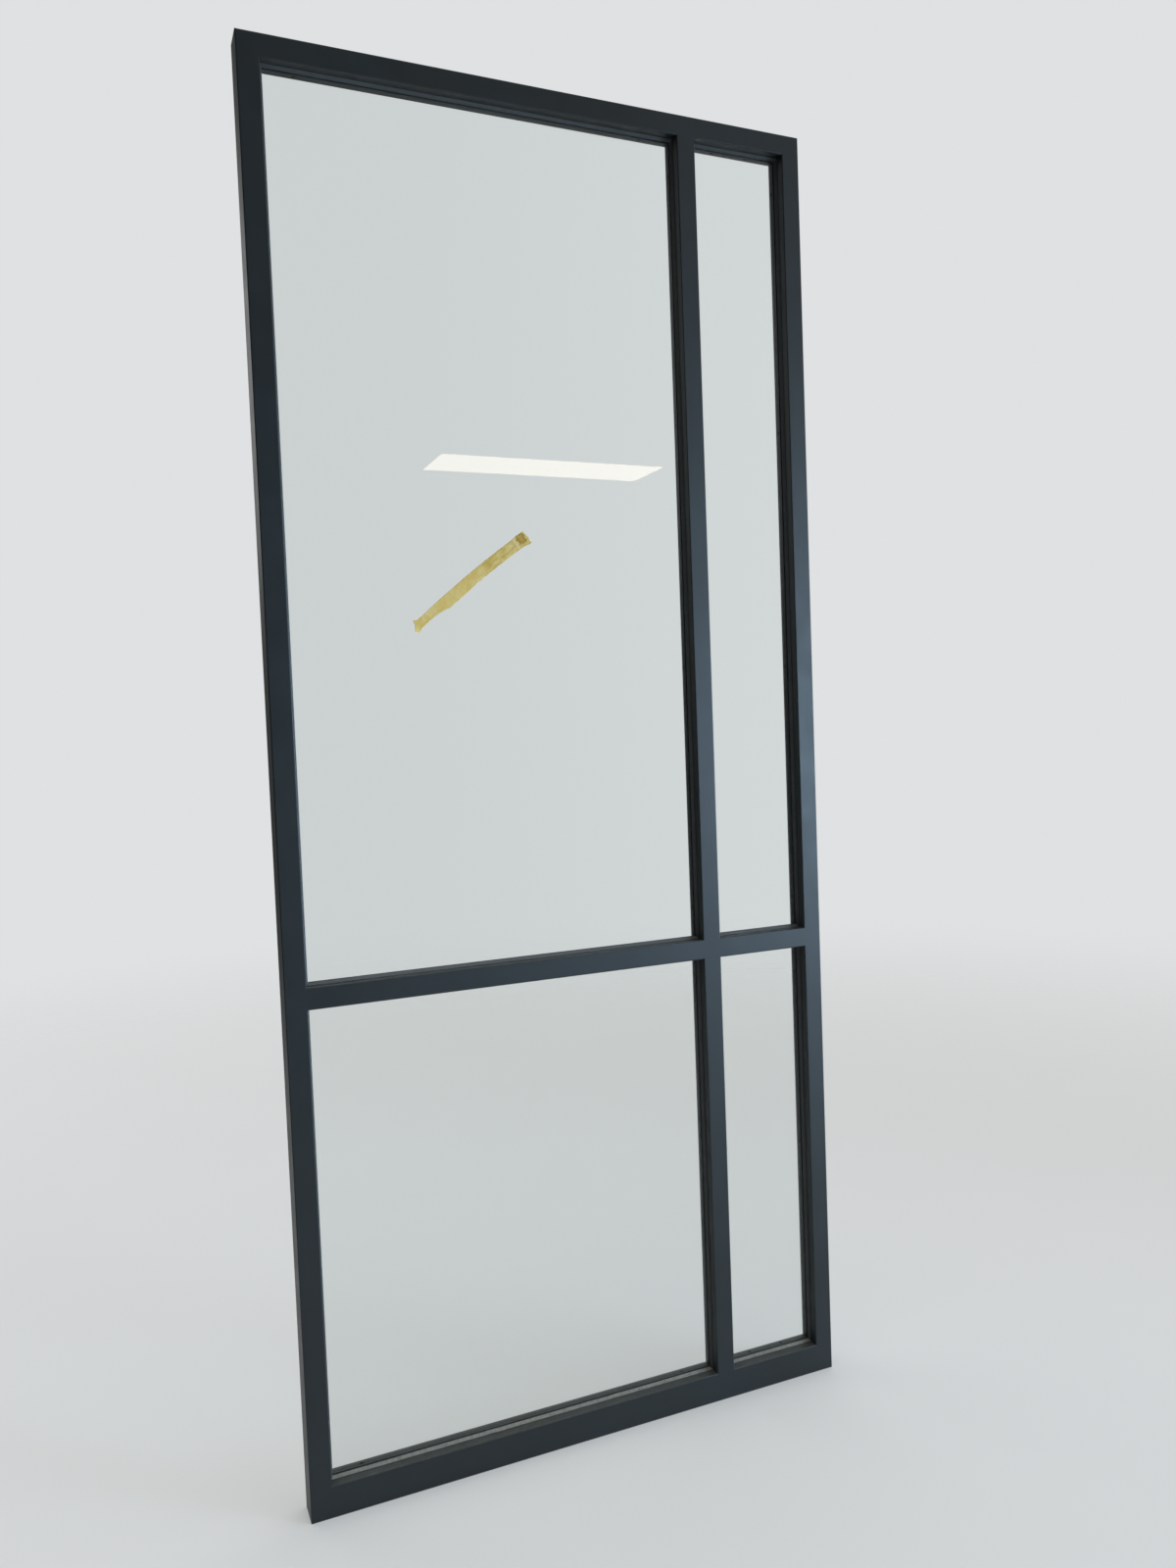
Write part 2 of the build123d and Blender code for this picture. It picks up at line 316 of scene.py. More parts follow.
def ledge_dust_and_top_light(tree, place, amount):
    """Share of dust and painted light from above at a point: only on faces that look up, patchy, and
    thickest near the floor.
    """
    normal = add_node(tree, "ShaderNodeNewGeometry").outputs["Normal"]
    upward = add_node(tree, "ShaderNodeSeparateXYZ", {0: normal}).outputs["Z"]
    ledge = add_node(
        tree, "ShaderNodeMapRange", {"Value": upward, "From Min": 0.25, "From Max": 0.70, "To Max": amount}
    ).outputs[0]
    patches = add_node(
        tree,
        "ShaderNodeTexNoise",
        {"Vector": place, "Scale": per_metre(DUST_PATCH), "Detail": 5.0, "Roughness": 0.7},
    ).outputs[0]
    cover = add_node(
        tree, "ShaderNodeMapRange", {"Value": patches, "From Min": 0.35, "From Max": 0.65, "To Min": 0.45}
    ).outputs[0]
    height = add_node(tree, "ShaderNodeSeparateXYZ", {0: place}).outputs["Z"]
    low = add_node(
        tree,
        "ShaderNodeMapRange",
        {"Value": height, "From Min": 0.1, "From Max": 0.7, "To Min": 1.0, "To Max": 0.2},
    ).outputs[0]
    share = add_node(tree, "ShaderNodeMath", {0: ledge, 1: cover}, operation="MULTIPLY").outputs[0]
    return add_node(tree, "ShaderNodeMath", {0: share, 1: low}, operation="MULTIPLY").outputs[0]


def powder_coated_steel(finish):
    """Welded mild steel, ground flush, powder coated anthracite and baked."""
    material, tree, place = start_material("powder_coated_steel_baked_satin")
    # Baked powder flows into a satin skin with a faint orange peel
    peel = add_node(
        tree,
        "ShaderNodeTexNoise",
        {"Vector": place, "Scale": per_metre(ORANGE_PEEL), "Detail": 2.0, "Roughness": 0.5},
    ).outputs[0]
    # The coat's thickness drifts over a hand's width, which shifts its shade a little
    drift = add_node(
        tree,
        "ShaderNodeTexNoise",
        {"Vector": place, "Scale": per_metre(COAT_DRIFT), "Detail": 3.0, "Roughness": 0.6},
    ).outputs[0]
    shade = add_node(
        tree, "ShaderNodeMapRange", {"Value": drift, "From Min": 0.35, "From Max": 0.65}
    ).outputs[0]
    coat = add_node(
        tree, "ShaderNodeMix", {0: shade, 6: finish.coat[:], 7: finish.coat_light[:]}, data_type="RGBA"
    ).outputs[2]
    # Faces that look up are painted a little paler: dust, and painted light from above
    dust_and_top_light = ledge_dust_and_top_light(tree, place, finish.coat_dust_and_top_light * finish.dust_and_top_light_amount)
    colour = add_node(
        tree, "ShaderNodeMix", {0: dust_and_top_light, 6: coat, 7: finish.dust_and_top_light[:]}, data_type="RGBA"
    ).outputs[2]
    # Wiping and handling leave patches that are a little glossier
    wipes = add_node(
        tree,
        "ShaderNodeTexNoise",
        {"Vector": place, "Scale": per_metre(WIPED_PATCH), "Detail": 4.0, "Roughness": 0.6},
    ).outputs[0]
    satin = add_node(
        tree,
        "ShaderNodeMapRange",
        {"Value": wipes, "From Min": 0.3, "From Max": 0.7, "To Min": 0.44, "To Max": 0.52},
    ).outputs[0]
    rough = add_node(tree, "ShaderNodeMix", {0: dust_and_top_light, 2: satin, 3: 0.9}, data_type="FLOAT").outputs[0]
    relief = add_node(
        tree, "ShaderNodeBump", {"Height": peel, "Strength": 0.6, "Distance": PEEL_HEIGHT * MM}
    ).outputs[0]
    shader = add_node(
        tree,
        "ShaderNodeBsdfPrincipled",
        {"Base Color": colour, "Roughness": rough, "Normal": relief, "Specular IOR Level": 0.4},
    )
    return finish_material(material, tree, shader)


def float_glass(finish):
    """Clear soda-lime float glass, toughened on rollers."""
    material, tree, place = start_material("float_glass_toughened_clear")
    # Rollers leave a wave of a few hundredths of a millimetre up the pane, which bends reflections
    height = add_node(tree, "ShaderNodeSeparateXYZ", {0: place}).outputs["Z"]
    turns = add_node(
        tree, "ShaderNodeMath", {0: height, 1: 2 * math.pi / (ROLLER_PITCH * MM)}, operation="MULTIPLY"
    ).outputs[0]
    wave = add_node(tree, "ShaderNodeMath", {0: turns}, operation="SINE").outputs[0]
    relief = add_node(
        tree, "ShaderNodeBump", {"Height": wave, "Strength": 1.0, "Distance": ROLLER_WAVE_HEIGHT * MM}
    ).outputs[0]
    # Wiped glass keeps a faint film in patches, which softens a lamp's edge
    film = add_node(
        tree,
        "ShaderNodeTexNoise",
        {"Vector": place, "Scale": per_metre(GLASS_FILM), "Detail": 4.0, "Roughness": 0.65},
    ).outputs[0]
    rough = add_node(
        tree,
        "ShaderNodeMapRange",
        {"Value": film, "From Min": 0.55, "From Max": 0.75, "To Min": 0.0, "To Max": 0.03},
    ).outputs[0]
    glass = add_node(
        tree,
        "ShaderNodeBsdfPrincipled",
        {
            "Base Color": finish.glass_tint[:],
            "Roughness": rough,
            "IOR": 1.52,
            "Transmission Weight": 1.0,
            "Normal": relief,
        },
    )
    # Lamps and bounced light pass straight through, as they do through a real pane
    path = add_node(tree, "ShaderNodeLightPath")
    passing = add_node(
        tree,
        "ShaderNodeMath",
        {0: path.outputs["Is Shadow Ray"], 1: path.outputs["Is Diffuse Ray"]},
        operation="MAXIMUM",
    ).outputs[0]
    clear = add_node(tree, "ShaderNodeBsdfTransparent", {"Color": finish.glass_passing[:]})
    shader = add_node(
        tree, "ShaderNodeMixShader", {0: passing, 1: glass.outputs[0], 2: clear.outputs[0]}
    )
    return finish_material(material, tree, shader)


def gasket_rubber(finish):
    """Extruded EPDM rubber, dusted with talc."""
    material, tree, place = start_material("epdm_rubber_extruded_grey")
    # Talc from the coil stays in the skin as a pale cloudy bloom
    bloom = add_node(
        tree,
        "ShaderNodeTexNoise",
        {"Vector": place, "Scale": per_metre(TALC_BLOOM), "Detail": 6.0, "Roughness": 0.7},
    ).outputs[0]
    # Faces that look up are painted pale: dust, and painted light from above, most near the floor
    dust_and_top_light = ledge_dust_and_top_light(tree, place, finish.dust_and_top_light_amount)
    talc = add_node(
        tree, "ShaderNodeMapRange", {"Value": bloom, "From Min": 0.35, "From Max": 0.7, "To Max": 0.05}
    ).outputs[0]
    pale = add_node(tree, "ShaderNodeMath", {0: talc, 1: dust_and_top_light}, operation="MAXIMUM").outputs[0]
    colour = add_node(
        tree, "ShaderNodeMix", {0: pale, 6: finish.gasket[:], 7: finish.dust_and_top_light[:]}, data_type="RGBA"
    ).outputs[2]
    grain = add_node(
        tree, "ShaderNodeTexNoise", {"Vector": place, "Scale": per_metre(RUBBER_GRAIN), "Detail": 2.0}
    ).outputs[0]
    relief = add_node(
        tree, "ShaderNodeBump", {"Height": grain, "Strength": 0.5, "Distance": RUBBER_GRAIN_HEIGHT * MM}
    ).outputs[0]
    rough = add_node(
        tree, "ShaderNodeMapRange", {"Value": pale, "From Max": 0.5, "To Min": 0.55, "To Max": 0.75}
    ).outputs[0]
    shader = add_node(
        tree,
        "ShaderNodeBsdfPrincipled",
        {"Base Color": colour, "Roughness": rough, "Normal": relief, "Specular IOR Level": 0.35},
    )
    return finish_material(material, tree, shader)


def block_plastic(finish):
    """Injection-moulded polypropylene with a fine spark-eroded grain."""
    material, tree, place = start_material("polypropylene_moulded_black")
    # The mould's grain breaks up the sheen of the black plastic
    grain = add_node(
        tree, "ShaderNodeTexNoise", {"Vector": place, "Scale": per_metre(MOULD_GRAIN), "Detail": 3.0}
    ).outputs[0]
    relief = add_node(
        tree, "ShaderNodeBump", {"Height": grain, "Strength": 0.6, "Distance": MOULD_GRAIN_HEIGHT * MM}
    ).outputs[0]
    # Plastic that flowed last into the mould is a little lighter and duller
    flow = add_node(
        tree, "ShaderNodeTexNoise", {"Vector": place, "Scale": per_metre(MOULD_FLOW), "Detail": 2.0}
    ).outputs[0]
    rough = add_node(
        tree, "ShaderNodeMapRange", {"Value": flow, "To Min": 0.45, "To Max": 0.6}
    ).outputs[0]
    colour = add_node(
        tree, "ShaderNodeMix", {0: flow, 6: finish.block[:], 7: finish.block_light[:]}, data_type="RGBA"
    ).outputs[2]
    shader = add_node(
        tree,
        "ShaderNodeBsdfPrincipled",
        {"Base Color": colour, "Roughness": rough, "Normal": relief, "IOR": 1.49},
    )
    return finish_material(material, tree, shader)


def zinc_plate(screw):
    """Cold-headed steel, zinc plated and passivated black."""
    material, tree, place = start_material("steel_zinc_plated_black")
    # Black passivation leaves a faint bronze tint that changes from screw to screw
    tint = add_node(
        tree, "ShaderNodeTexNoise", {"Vector": place, "Scale": per_metre(PLATING_TINT), "Detail": 3.0}
    ).outputs[0]
    blend = add_node(
        tree, "ShaderNodeMapRange", {"Value": tint, "From Min": 0.35, "From Max": 0.65}
    ).outputs[0]
    colour = add_node(
        tree,
        "ShaderNodeMix",
        {0: blend, 6: screw.plating[:], 7: screw.plating_bronze[:]},
        data_type="RGBA",
    ).outputs[2]
    rough = add_node(
        tree,
        "ShaderNodeMapRange",
        {"Value": tint, "From Min": 0.3, "From Max": 0.7, "To Min": 0.34, "To Max": 0.48},
    ).outputs[0]
    shader = add_node(
        tree, "ShaderNodeBsdfPrincipled", {"Base Color": colour, "Roughness": rough, "Metallic": 1.0}
    )
    return finish_material(material, tree, shader)


def crepe_paper(tape, name, start, face, lit_crest):
    """Creped kraft paper, saturated with latex and dyed yellow."""
    material, tree, place = start_material(name)
    # Coordinates of the strip itself: X along it from its torn end, Z across it
    moved = add_node(tree, "ShaderNodeMapping", {"Vector": place, "Location": -start}).outputs[0]
    own = add_node(
        tree, "ShaderNodeVectorRotate", {"Vector": moved, "Angle": tape.angle}, rotation_type="Y_AXIS"
    ).outputs[0]
    along = add_node(tree, "ShaderNodeSeparateXYZ", {0: own}).outputs["X"]
    # Creping folds the paper across the strip every millimetre; drawn coarser so that it shows
    stretched = add_node(tree, "ShaderNodeMapping", {"Vector": own, "Scale": (1.0, 1.0, 0.16)}).outputs[0]
    crepe = add_node(
        tree,
        "ShaderNodeTexNoise",
        {"Vector": stretched, "Scale": per_metre(CREPE_PITCH), "Detail": 4.0, "Roughness": 0.65},
    ).outputs[0]
    ridge = add_node(
        tree, "ShaderNodeMapRange", {"Value": crepe, "From Min": 0.3, "From Max": 0.7}
    ).outputs[0]
    # Painted light and shade on the creping: crests are drawn paler than hollows, in patches
    lit_patch_noise = add_node(
        tree,
        "ShaderNodeTexNoise",
        {"Vector": own, "Scale": per_metre(DYE_PATCH), "Detail": 3.0, "Roughness": 0.6},
    ).outputs[0]
    lit_crest_patches = add_node(
        tree, "ShaderNodeMapRange", {"Value": lit_patch_noise, "From Min": 0.40, "From Max": 0.62}
    ).outputs[0]
    shade = add_node(tree, "ShaderNodeMath", {0: ridge, 1: lit_crest_patches}, operation="MULTIPLY").outputs[0]
    dyed = add_node(tree, "ShaderNodeMix", {0: shade, 6: face[:], 7: lit_crest[:]}, data_type="RGBA").outputs[2]
    # The upper half lifted and was pressed back, so glue shows through it in ochre streaks
    upper_half = add_node(
        tree,
        "ShaderNodeMapRange",
        {"Value": along, "From Min": 0.42 * tape.length, "From Max": 0.75 * tape.length, "To Max": 0.55},
        interpolation_type="SMOOTHSTEP",
    ).outputs[0]
    drawn_out = add_node(tree, "ShaderNodeMapping", {"Vector": own, "Scale": (0.25, 1.0, 1.0)}).outputs[0]
    streak = add_node(
        tree, "ShaderNodeTexNoise", {"Vector": drawn_out, "Scale": per_metre(GLUE_STREAK), "Detail": 4.0}
    ).outputs[0]
    streaked = add_node(
        tree, "ShaderNodeMapRange", {"Value": streak, "From Min": 0.42, "From Max": 0.66}
    ).outputs[0]
    glue = add_node(tree, "ShaderNodeMath", {0: upper_half, 1: streaked}, operation="MULTIPLY").outputs[0]
    glued = add_node(
        tree, "ShaderNodeMix", {0: glue, 6: dyed, 7: tape.adhesive[:]}, data_type="RGBA"
    ).outputs[2]
    # The dye cracked pale along the crease beside the doubled end
    off_crease = add_node(
        tree, "ShaderNodeMath", {0: along, 1: CREASE_SHARE * tape.length}, operation="SUBTRACT"
    ).outputs[0]
    distance = add_node(tree, "ShaderNodeMath", {0: off_crease}, operation="ABSOLUTE").outputs[0]
    crease = add_node(
        tree,
        "ShaderNodeMapRange",
        {"Value": distance, "From Min": 2.3 * MM, "From Max": 0.3 * MM, "To Max": 0.60},
    ).outputs[0]
    colour = add_node(
        tree, "ShaderNodeMix", {0: crease, 6: glued, 7: tape.crease[:]}, data_type="RGBA"
    ).outputs[2]
    relief = add_node(
        tree, "ShaderNodeBump", {"Height": ridge, "Strength": 0.7, "Distance": CREPE_HEIGHT * MM}
    ).outputs[0]
    shader = add_node(
        tree,
        "ShaderNodeBsdfPrincipled",
        {"Base Color": colour, "Roughness": 0.72, "Normal": relief, "IOR": 1.45},
    )
    return finish_material(material, tree, shader)


def tape_frame(tape):
    """Start of the strip on the glass, and its directions along, across and out from the glass."""
    along = Vector((math.cos(tape.angle), 0.0, math.sin(tape.angle)))
    across = Vector((-math.sin(tape.angle), 0.0, math.cos(tape.angle)))
    reach = [
        along * (share * tape.length) + across * (half * tape.width / 2)
        for share, half in TORN_END + LOWER_EDGE + FAR_END + UPPER_EDGE
    ]
    low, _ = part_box("masking_tape")
    glass_low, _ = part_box("upper_left_glass")
    start = Vector((low.x - min(p.x for p in reach), glass_low.y, low.z - min(p.z for p in reach)))
    return start, along, across, Vector((0.0, -1.0, 0.0))


def edge_at(points, share):
    """Height of an outline at one share of the strip's length."""
    ordered = sorted(points)
    return float(np.interp(share, [p[0] for p in ordered], [p[1] for p in ordered]))


def end_at(points, across):
    """Share of the strip's length at which its end is torn, at one height across it."""
    ordered = sorted((p[1], p[0]) for p in points)
    return float(np.interp(across, [p[0] for p in ordered], [p[1] for p in ordered]))


def rim_of(grid):
    """Vertices round the rim of a grid, in order."""
    right = [row[-1] for row in grid[:-1]]
    left = [row[0] for row in grid[:0:-1]]
    return grid[0][:-1] + right + grid[-1][:0:-1] + left


def lay_sheet(mesh, material_out, material_in, grid, point_at, thickness):
    """Thin sheet as a closed shell: an outer and an inner grid of points, joined round the rim."""
    rows, columns = grid
    outer, inner = (
        [
            [mesh.verts.new(point_at(r / rows, c / columns, depth)) for c in range(columns + 1)]
            for r in range(rows + 1)
        ]
        for depth in (0.0, thickness)
    )
    for r in range(rows):
        for c in range(columns):
            face = mesh.faces.new((outer[r][c], outer[r][c + 1], outer[r + 1][c + 1], outer[r + 1][c]))
            face.material_index = material_out
            face.smooth = True
            face = mesh.faces.new((inner[r][c], inner[r + 1][c], inner[r + 1][c + 1], inner[r][c + 1]))
            face.material_index = material_in
            face.smooth = True
    rim_out = rim_of(outer)
    rim_in = rim_of(inner)
    for index, corner in enumerate(rim_out):
        after = (index + 1) % len(rim_out)
        face = mesh.faces.new((corner, rim_in[index], rim_in[after], rim_out[after]))
        face.material_index = material_out


def make_tape_strip(tape):
    """Wrinkled, torn strip of tape with its far end doubled back on itself."""
    start, along, across, out = tape_frame(tape)
    draw = np.random.default_rng(7)
    tear = draw.uniform(-1.0, 1.0, 2 * TEAR_STEPS)
    waves = [
        (draw.uniform(0.9, 2.2), draw.uniform(0, 2 * math.pi), draw.uniform(-0.5, 0.5)) for _ in range(7)
    ]
    mesh = bmesh.new()

    def lift(s, t):
        """How far the face of the strip stands off the glass, at shares of its length and half width."""
        height = tape.thickness + GLUE_LINE * MM
        for number, (turns, phase, slope) in enumerate(waves):
            way = s * turns * 9 + t * slope * 2
            height += WAVE_LIFT * MM * math.sin(phase + 2 * math.pi * way * (1 + number / 5))
        height += CREPE_LIFT * MM * math.sin(2 * math.pi * s * tape.length / (CREPE_PITCH * MM))
        # Creases run from the neck, where the lower edge is rolled under
        neck = math.exp(-((s - NECK_SHARE) / NECK_REACH) ** 2)
        wrinkle = 0.5 + 0.5 * math.sin(2 * math.pi * (s * 11 + t * 0.9))
        rolled = math.exp(-((t - ROLLED_EDGE_SHARE) / ROLLED_EDGE_REACH) ** 2)
        height += ROLLED_EDGE_LIFT * MM * neck * rolled
        height += NECK_WRINKLE_LIFT * MM * neck * wrinkle
        # Torn tips curl off the glass
        torn_tip = max(0.0, (TORN_CURL_START - s) / CURL_REACH) ** 1.5
        far_tip = max(0.0, (s - CORNER_CURL_START) / CURL_REACH)
        height += TORN_END_CURL * MM * torn_tip
        height += CORNER_CURL * MM * far_tip * max(0.0, CORNER_CURL_BELOW - t)
        return height

    def place_at(s, t, stand):
        """Point at shares of the strip's length and half width, at one distance off the glass."""
        return start + along * (s * tape.length) + across * (t * tape.width / 2) + out * stand

    def strip_point(row, column, depth):
        """Point of the strip at a share along it and one across it."""
        guess = -1.0 + 2.0 * row
        step = int(row * (TEAR_STEPS - 1))
        low_end = end_at(TORN_END, guess) + 0.0022 * tear[step]
        far_end = end_at(FAR_END, guess * 1.3) + 0.0018 * tear[TEAR_STEPS + step]
        s = low_end + (far_end - low_end) * column
        low = edge_at(LOWER_EDGE + (TORN_END[-1], FAR_END[0]), s)
        high = edge_at(UPPER_EDGE + (TORN_END[0], FAR_END[-1]), s)
        t = low + (high - low) * row
        return place_at(s, t, max(LEAST_STAND * MM, lift(s, t) - depth))

    def doubled_point(row, column, depth):
        """Point of the end that is folded back over the strip."""
        # Its edges bend and waver a little, as torn paper that was folded by hand does
        near = FOLD_NEAR + 0.010 * row + 0.005 * math.sin(7 * row)
        far = FOLD_FAR - 0.010 * (1 - row) ** 2 + 0.004 * math.sin(9 * row)
        s = near + (far - near) * column
        low = FOLD_LOW - 0.28 * column ** 2 + 0.07 * math.sin(9 * column)
        high = FOLD_HIGH - 0.26 * column ** 2 + 0.05 * math.sin(11 * column)
        t = low + (high - low) * row
        bulge = FOLD_BULGE * MM * max(0.0, (column - 0.8) / 0.2) ** 2
        wrinkle = FOLD_WRINKLE * MM * math.sin(7 * row + 5 * column) ** 2
        stand = lift(s, t) + FOLD_GAP * MM + tape.thickness + (bulge + wrinkle) - depth
        return place_at(s, t, stand)

    lay_sheet(mesh, 0, 1, STRIP_GRID, strip_point, tape.thickness)
    lay_sheet(mesh, 1, 0, FOLD_GRID, doubled_point, tape.thickness)
    strip = finish_mesh(mesh, "masking_tape_strip")
    strip.data.materials.append(
        crepe_paper(tape, "crepe_paper_dyed_yellow", start, tape.paper, tape.paper_lit_crest)
    )
    strip.data.materials.append(
        crepe_paper(tape, "crepe_paper_rubber_adhesive", start, tape.adhesive, tape.paper)
    )
    return strip


def finish_mesh(mesh, name):
    """New object with faces that look outward, from a mesh that is being built."""
    bmesh.ops.recalc_face_normals(mesh, faces=mesh.faces)
    data = bpy.data.meshes.new(name)
    mesh.to_mesh(data)
    mesh.free()
    piece = bpy.data.objects.new(name, data)
    bpy.context.scene.collection.objects.link(piece)
    return piece


def screw_places(node):
    """Head centre, direction of drive, head radius, shank radius and length of each screw of a CAD node."""
    groups = []
    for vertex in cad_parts[node].data.vertices:
        for group in groups:
            if (group[0] - vertex.co).length < SCREW_REACH * MM:
                group.append(vertex.co)
                break
        else:
            groups.append([vertex.co])
    places = []
    for group in groups:
        points = np.array(group)
        low, high = points.min(0), points.max(0)
        axis = int(np.argmax(high - low))
        middle = (low + high) / 2
        spread = np.linalg.norm(np.delete(points - middle, axis, 1), axis=1)
        widest = spread.max()
        head_at_high = spread[points[:, axis] > high[axis] - HEAD_BAND * MM].max() > widest * 0.9
        head = middle.copy()
        head[axis] = high[axis] if head_at_high else low[axis]
        drive = np.zeros(3)
        drive[axis] = -1.0 if head_at_high else 1.0
        shank = spread[np.abs(points[:, axis] - head[axis]) > SHANK_START * MM].max()
        length = (high - low)[axis]
        places.append((Vector(head), Vector(drive), float(widest), float(shank), float(length)))
    return places


def add_screw(mesh, screw, place, turn):
    """One countersunk screw with a cross recess and a thread, as rings of vertices round its axis."""
    head, drive, head_radius, shank_radius, length = place
    reach, arm = screw.recess_reach, screw.recess_half_width
    tip = math.atan2(arm, reach)
    turns = []
    for quarter in range(4):
        base = quarter * math.pi / 2
        middle = base + math.pi / 4
        after = base + math.pi / 2
        turns += [base - tip, base, base + tip, base + RECESS_CORNER, middle, after - RECESS_CORNER]
    side = drive.orthogonal().normalized()
    up = drive.cross(side)

    def cross_radius(angle):
        """Distance from the axis to the recess's wall."""
        c, s = abs(math.cos(angle)) + 1e-9, abs(math.sin(angle)) + 1e-9
        return max(min(reach / c, arm / s), min(reach / s, arm / c))

    taper = head_radius - shank_radius
    rings = [
        [(cross_radius(a) * RECESS_FLOOR_SHARE, screw.recess_depth) for a in turns],
        [(cross_radius(a), RECESS_RIM * MM) for a in turns],
        [(cross_radius(a) + RECESS_RIM * MM, 0.0) for a in turns],
        [(head_radius - HEAD_RIM * MM, 0.0) for _ in turns],
        [(head_radius, HEAD_RIM * MM) for _ in turns],
        [(shank_radius, taper + UNDERCUT * MM) for _ in turns],
    ]
    depth = taper + THREAD_START * MM
    step = screw.thread_pitch / screw.thread_rings
    while depth < length - THREAD_END * MM:
        ring = []
        for angle in turns:
            phase = (depth / screw.thread_pitch - angle / (2 * math.pi)) % 1.0
            ring.append((shank_radius - screw.thread_depth * abs(2 * phase - 1), depth))
        rings.append(ring)
        depth += step
    rings.append([(shank_radius * TIP_SHARE, length) for _ in turns])
    made = []
    for ring in rings:
        made.append([
            mesh.verts.new(
                head + drive * d + (side * math.cos(a + turn) + up * math.sin(a + turn)) * r
            )
            for a, (r, d) in zip(turns, ring)
        ])
    count = len(turns)
    for upper, lower in zip(made, made[1:]):
        for index in range(count):
            after = (index + 1) % count
            mesh.faces.new((upper[index], upper[after], lower[after], lower[index]))
    for ring, depth in ((made[0], screw.recess_depth + RECESS_POINT * MM), (made[-1], length)):
        centre = mesh.verts.new(head + drive * depth)
        for index in range(count):
            mesh.faces.new((ring[index], ring[(index + 1) % count], centre))


def make_pane_screws(screw, pane, material):
    """All bead screws of one pane."""
    draw = np.random.default_rng(sum(map(ord, pane)))
    mesh = bmesh.new()
    for place in screw_places(f"{pane}_bead_screws"):
        add_screw(mesh, screw, place, draw.uniform(0, math.pi / 2))
    piece = finish_mesh(mesh, f"{pane}_countersunk_screws")
    piece.data.materials.append(material)
    return piece


def rays_that_see(tree, path):
    """1 for rays that show something: the camera's, mirrored ones and ones through glass. 0 for light."""
    seen = path.outputs["Is Camera Ray"]
    for kind in ("Is Glossy Ray", "Is Transmission Ray"):
        seen = add_node(
            tree, "ShaderNodeMath", {0: seen, 1: path.outputs[kind]}, operation="MAXIMUM"
        ).outputs[0]
    return seen


def lay_floor(stage):
    """Round pale floor that fades into the backdrop far from the leaf."""
    mesh = bmesh.new()
    bmesh.ops.create_circle(mesh, cap_ends=True, cap_tris=True, segments=96, radius=stage.floor_radius)
    data = bpy.data.meshes.new("studio_floor")
    mesh.to_mesh(data)
    mesh.free()
    floor = bpy.data.objects.new("studio_floor", data)
    bpy.context.scene.collection.objects.link(floor)
    material, tree, place = start_material("lime_plaster_trowelled_pale")
    # Trowelled plaster: matt, with a faint mottle
    mottle = add_node(
        tree, "ShaderNodeTexNoise", {"Vector": place, "Scale": per_metre(PLASTER_MOTTLE), "Detail": 4.0}
    ).outputs[0]
    colour = add_node(
        tree, "ShaderNodeMix", {0: mottle, 6: stage.floor[:], 7: stage.floor_light[:]}, data_type="RGBA"
    ).outputs[2]
    matt = add_node(tree, "ShaderNodeBsdfPrincipled", {"Base Color": colour, "Roughness": 0.75})
    reach = add_node(tree, "ShaderNodeVectorMath", {0: place}, operation="LENGTH").outputs["Value"]
    fade = add_node(
        tree,
        "ShaderNodeMapRange",
        {"Value": reach, "From Min": stage.fade_start, "From Max": stage.fade_end},
        interpolation_type="SMOOTHSTEP",
    ).outputs[0]
    gone = add_node(tree, "ShaderNodeBsdfTransparent")
    # What is seen of the floor is drawn a little toward the backdrop, and keeps the leaf's shadow
    seen = rays_that_see(tree, add_node(tree, "ShaderNodeLightPath"))
    drawn = add_node(tree, "ShaderNodeMath", {0: seen, 1: stage.floor_veil}, operation="MULTIPLY").outputs[0]
    glow = add_node(tree, "ShaderNodeEmission", {"Color": stage.backdrop[:], "Strength": 1.0})
    lit = add_node(tree, "ShaderNodeMixShader", {0: drawn, 1: matt.outputs[0], 2: glow.outputs[0]})
    shader = add_node(tree, "ShaderNodeMixShader", {0: fade, 1: lit.outputs[0], 2: gone.outputs[0]})
    data.materials.append(finish_material(material, tree, shader))


